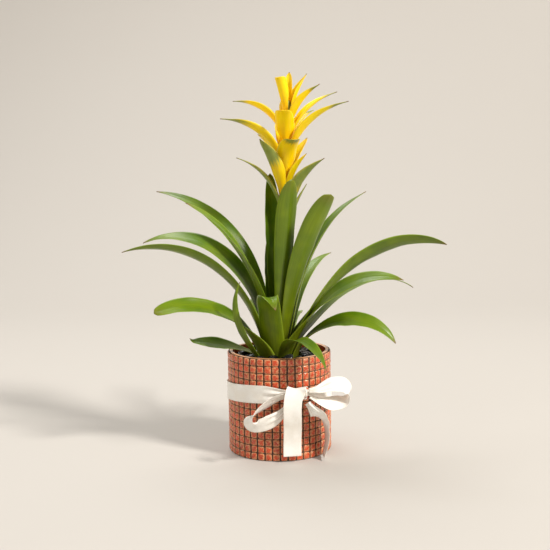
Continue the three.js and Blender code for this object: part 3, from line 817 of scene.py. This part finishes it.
def pebble_shape(rng, size):
    """A worn flat stone: a squashed ball with soft, uneven sides."""
    across, along = 14, 20
    seed = Vector((rng.uniform(0, 90), rng.uniform(0, 90), rng.uniform(0, 90)))
    turn = Matrix.Rotation(rng.uniform(0, math.tau), 3, "Z")
    tip = Matrix.Rotation(math.radians(rng.uniform(-22, 22)), 3, "X")
    tip = tip @ Matrix.Rotation(math.radians(rng.uniform(-22, 22)), 3, "Y")
    points, faces = [], []
    for i in range(1, across):
        polar = math.pi * i / across
        ring = math.sin(polar)
        for k in range(along):
            angle = math.tau * k / along
            ball = Vector((ring * math.cos(angle), ring * math.sin(angle), math.cos(polar)))
            worn = 1 + 0.13 * noise.noise(ball * 1.3 + seed) + 0.03 * noise.noise(ball * 4 + seed)
            points.append(tip @ (turn @ Vector([worn * c * h for c, h in zip(ball, size)])))
    top, bottom = len(points), len(points) + 1
    points.append(tip @ (turn @ Vector((0, 0, size[2]))))
    points.append(tip @ (turn @ Vector((0, 0, -size[2]))))
    for k in range(along):
        n = (k + 1) % along
        faces.append((top, k, n))
        for i in range(across - 2):
            faces.append((i * along + k, (i + 1) * along + k, (i + 1) * along + n, i * along + n))
        faces.append((bottom, (across - 2) * along + n, (across - 2) * along + k))
    return points, faces


def make_pebbles(blades):
    """Pebbles dropped one by one round the crown, each into the lowest free place it finds."""
    rng = random.Random("pebbles")
    wall = box_mm("pebble_bed")[1].x - 0.3
    surface = box_mm("pebble_bed")[1].z
    trees = []
    for blade in blades:
        corners = [v.co / MM for v in blade.data.vertices]
        trees.append(BVHTree.FromPolygons(corners, [p.vertices for p in blade.data.polygons]))
    laid, points, faces, tints = [], [], [], []
    for _ in range(PEBBLES_TRIED):
        size = (rng.uniform(6.4, 9.6), rng.uniform(5.0, 7.2), rng.uniform(2.6, 3.9))
        reach = (size[0] + size[1]) / 2
        best = None
        for _ in range(PLACES_TRIED):
            r = math.sqrt(rng.uniform(CROWN_RADIUS ** 2, (wall - reach * 0.95) ** 2))
            angle = rng.uniform(0, math.tau)
            x, y = r * math.cos(angle), r * math.sin(angle)
            z = SOIL_TOP + size[2]
            for px, py, pz, preach, phalf in laid:
                gap = math.hypot(x - px, y - py) / (reach + preach)
                if gap < PEBBLE_CONTACT:
                    z = max(z, pz + (size[2] + phalf) * math.sqrt(1 - gap * gap))
            centre = Vector((x, y, z))
            clear = min(tree.find_nearest(centre)[3] for tree in trees)
            if clear > BLADE_CLEARANCE * size[1] and (best is None or z < best.z):
                best = centre
        if best is None or best.z + size[2] > surface:
            continue
        laid.append((best.x, best.y, best.z, reach, size[2]))
        shape, quads = pebble_shape(rng, size)
        start = len(points)
        points += [p + best for p in shape]
        faces += [tuple(start + i for i in quad) for quad in quads]
        tints += [rng.random()] * len(shape)
    add_piece("black_pebbles", points, faces, pebble_look(), ("pebble_bed",),
              {"tint": tints})
    return len(laid)


# ---------------------------------------------------------------- satin ribbon
RIBBON_WIDTH = 22.0
SATIN_THICKNESS = 0.4
PINCH = 0.36
PINCH_REACH = 0.28
PLEATS = 2.5
KNOT_CENTRE = sum(box_mm("bow_knot"), Vector()) / 2
LEFT_LOOP = [
    ((17, -70.5, 86), (0.1, -0.85, 0.4)), ((5, -76, 84), (0, -0.8, 0.6)),
    ((-9, -80, 79), (0.1, -0.75, 0.65)), ((-25, -85, 69), (0.3, -0.65, 0.65)),
    ((-35, -86, 57), (0.5, -0.6, 0.6)), ((-29, -84, 50), (0.2, -0.55, 0.8)),
    ((-14, -80, 53), (-0.2, -0.45, 0.87)), ((1, -77, 62), (-0.3, -0.45, 0.85)),
    ((16, -72, 78), (-0.3, -0.6, 0.6)),
]
RIGHT_LOOP = [
    ((35, -67, 88), (0.3, 0.8, 0.35)), ((48, -67, 90), (0.35, 0.78, 0.5)),
    ((64, -62, 94), (0.35, 0.75, 0.52)), ((78, -57, 92), (0.3, 0.75, 0.52)),
    ((84, -55, 83), (0.25, 0.8, 0.5)), ((78, -57, 74), (0.3, 0.75, 0.5)),
    ((64, -62, 71), (0.35, 0.75, 0.45)), ((50, -67, 74), (0.35, 0.8, 0.35)),
    ((36, -68, 81), (0.3, 0.85, 0.2)),
]
FRONT_TAIL = [
    ((24, -71, 92.5), (1, 0.15, 0.1)), ((20, -79, 93), (1, 0.15, 0.1)),
    ((16.5, -84, 84), (1, 0.15, 0)), ((15, -84, 71), (1, 0.15, 0)),
    ((15, -80, 56), (1, 0.17, 0)), ((15, -74, 40), (1, 0.17, 0)),
    ((14.5, -70, 24), (1, 0.17, 0)), ((14.5, -69.5, 8), (1, 0.17, 0)),
]
SIDE_TAIL = [
    ((33, -75, 75), (0.4, -0.3, 0.8)), ((42, -76, 64), (0.5, -0.5, 0.7)),
    ((49, -71, 56), (0.4, -0.85, 0.3)), ((54, -62, 46), (0.25, -0.97, 0)),
    ((57, -55, 33), (0.2, -0.98, 0)), ((56.5, -53, 20), (0.15, -1, 0)),
    ((52.5, -54, 3), (0.05, -1, 0)),
]


def on_curve(values, t):
    """A smooth curve through a list of points, at the share t of the way along the list."""
    last = len(values) - 1
    i = min(int(t * last), last - 1)
    u = t * last - i
    b, c = Vector(values[i]), Vector(values[i + 1])
    a = Vector(values[i - 1]) if i > 0 else 2 * b - c
    d = Vector(values[i + 2]) if i + 2 <= last else 2 * c - b
    square = 2 * a - 5 * b + 4 * c - d
    cube = 3 * b - a - 3 * c + d
    return 0.5 * (2 * b + (c - a) * u + square * u * u + cube * u ** 3)


def gathered(t, ends):
    """Share of the width left: it is pinched at both ends (2), at the start (1) or nowhere (0)."""
    reach = min(t, 1 - t) if ends == 2 else t
    return 1.0 if ends == 0 else lerp(PINCH, 1, ease(reach / PINCH_REACH))


def pleat_depth(share):
    """Depth of the folds that take up the cloth where a ribbon is gathered to a share of its width."""
    spare = math.sqrt(max(0.0, (1 / share) ** 2 - 1))
    return spare * share * RIBBON_WIDTH / (PLEATS * math.tau) * 0.9


def ribbon_mesh(name, sections_at, steps, look, replaces, seed):
    """Sweeps satin through sections_at(t) = (centre, side, out, share of width left)."""
    across = 30
    points, run = [], 0.0
    numbers = {"run": [], "across": []}
    previous = None
    for i in range(steps + 1):
        t = i / steps
        centre, side, out, share = sections_at(t)
        if previous is not None:
            run += (centre - previous).length
        previous = centre
        depth = pleat_depth(share)
        for upper in (1, -1):
            for j in range(across + 1):
                q = upper * (2 * j / across - 1)
                fold = depth * math.sin(PLEATS * math.pi * q + seed) * (1 - 0.35 * q * q)
                ripple = 0.5 * noise.noise(Vector((run * 0.05, q * 1.2, seed)))
                lift = fold + ripple + upper * SATIN_THICKNESS / 2
                points.append(centre + side * (q * RIBBON_WIDTH / 2 * share) + out * lift)
                numbers["run"].append(run)
                numbers["across"].append(q)
    faces = strip_faces(steps + 1, 2 * (across + 1))
    piece = add_piece(name + "_satin", points, faces, look, replaces, numbers)


def route_sections(route, ends):
    """Cross-sections along a route, which lists places with the way the ribbon's width points."""
    places = [p for p, _ in route]
    widths = [w for _, w in route]

    def sections_at(t):
        step = 0.004
        ahead, behind = on_curve(places, min(1, t + step)), on_curve(places, max(0, t - step))
        along = (ahead - behind).normalized()
        side = on_curve(widths, t)
        side = (side - along * side.dot(along)).normalized()
        return on_curve(places, t), side, along.cross(side), gathered(t, ends)
    return sections_at


BAND_RADIUS = box_mm("ribbon_band")[1].x - 0.4
BAND_MIDDLE = 76.5
BAND_TILT = -0.1
KNOT_ANGLE = math.atan2(KNOT_CENTRE.y, KNOT_CENTRE.x)
KNOT_HALF_ANGLE = math.radians(4)
KNOT_OUT = 4.8
KNOT_UP = 6.8
KNOT_WIDTH_SHARE = 0.52


def band_sections(t):
    angle = KNOT_ANGLE + KNOT_HALF_ANGLE + t * (math.tau - 2 * KNOT_HALF_ANGLE)
    from_knot = min(t, 1 - t) * (math.tau - 2 * KNOT_HALF_ANGLE)
    share = lerp(PINCH, 1, ease(from_knot / math.radians(36)))
    out = Vector((math.cos(angle), math.sin(angle), 0))
    lift = pleat_depth(share) + 1.5 * (1 - ease(from_knot / math.radians(24)))
    middle = BAND_MIDDLE + BAND_TILT * BAND_RADIUS * math.sin(angle)
    middle = lerp(KNOT_CENTRE.z, middle, ease(from_knot / math.radians(40)))
    centre = out * (BAND_RADIUS + lift) + Vector((0, 0, middle))
    return centre, Vector((0, 0, 1)), out, share


def knot_sections(t):
    """The ribbon's own turn round the crossing: over the front, under and up behind it."""
    angle = math.tau * 0.97 * t - 0.4
    out = Vector((math.cos(KNOT_ANGLE), math.sin(KNOT_ANGLE), 0))
    side = Vector((-math.sin(KNOT_ANGLE), math.cos(KNOT_ANGLE), 0.12)).normalized()
    direction = out * math.cos(angle) + Vector((0, 0, 1)) * math.sin(angle)
    centre = KNOT_CENTRE + out * KNOT_OUT * math.cos(angle) + Vector((0, 0, KNOT_UP * math.sin(angle)))
    return centre, side, direction, KNOT_WIDTH_SHARE


def make_ribbon():
    satin = satin_look()
    ribbon_mesh("ribbon_band", band_sections, 260, satin, ("ribbon_band",),
                0.4)
    ribbon_mesh("bow_knot", knot_sections, 60, satin, ("bow_knot",),
                1.3)
    ribbon_mesh("bow_loop_left", route_sections(LEFT_LOOP, 2), 110, satin, ("bow_loop_left",),
                2.1)
    ribbon_mesh("bow_loop_right", route_sections(RIGHT_LOOP, 2), 110, satin, ("bow_loop_right",),
                0.9)
    ribbon_mesh("ribbon_tail_front", route_sections(FRONT_TAIL, 0), 90, satin, ("ribbon_tail_front",),
                3.3)
    ribbon_mesh("ribbon_tail_side", route_sections(SIDE_TAIL, 1), 90, satin, ("ribbon_tail_side",),
                4.2)


# ---------------------------------------------------------------- assembly
make_camera()
make_stage()
make_lights()
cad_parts["pot"].data.materials.clear()
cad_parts["pot"].data.materials.append(pot_look())
leaves = make_leaves()
make_bracts()
make_stem()
make_tiles()
make_grout()
make_soil()
print("pebbles laid:", make_pebbles(leaves))
make_ribbon()
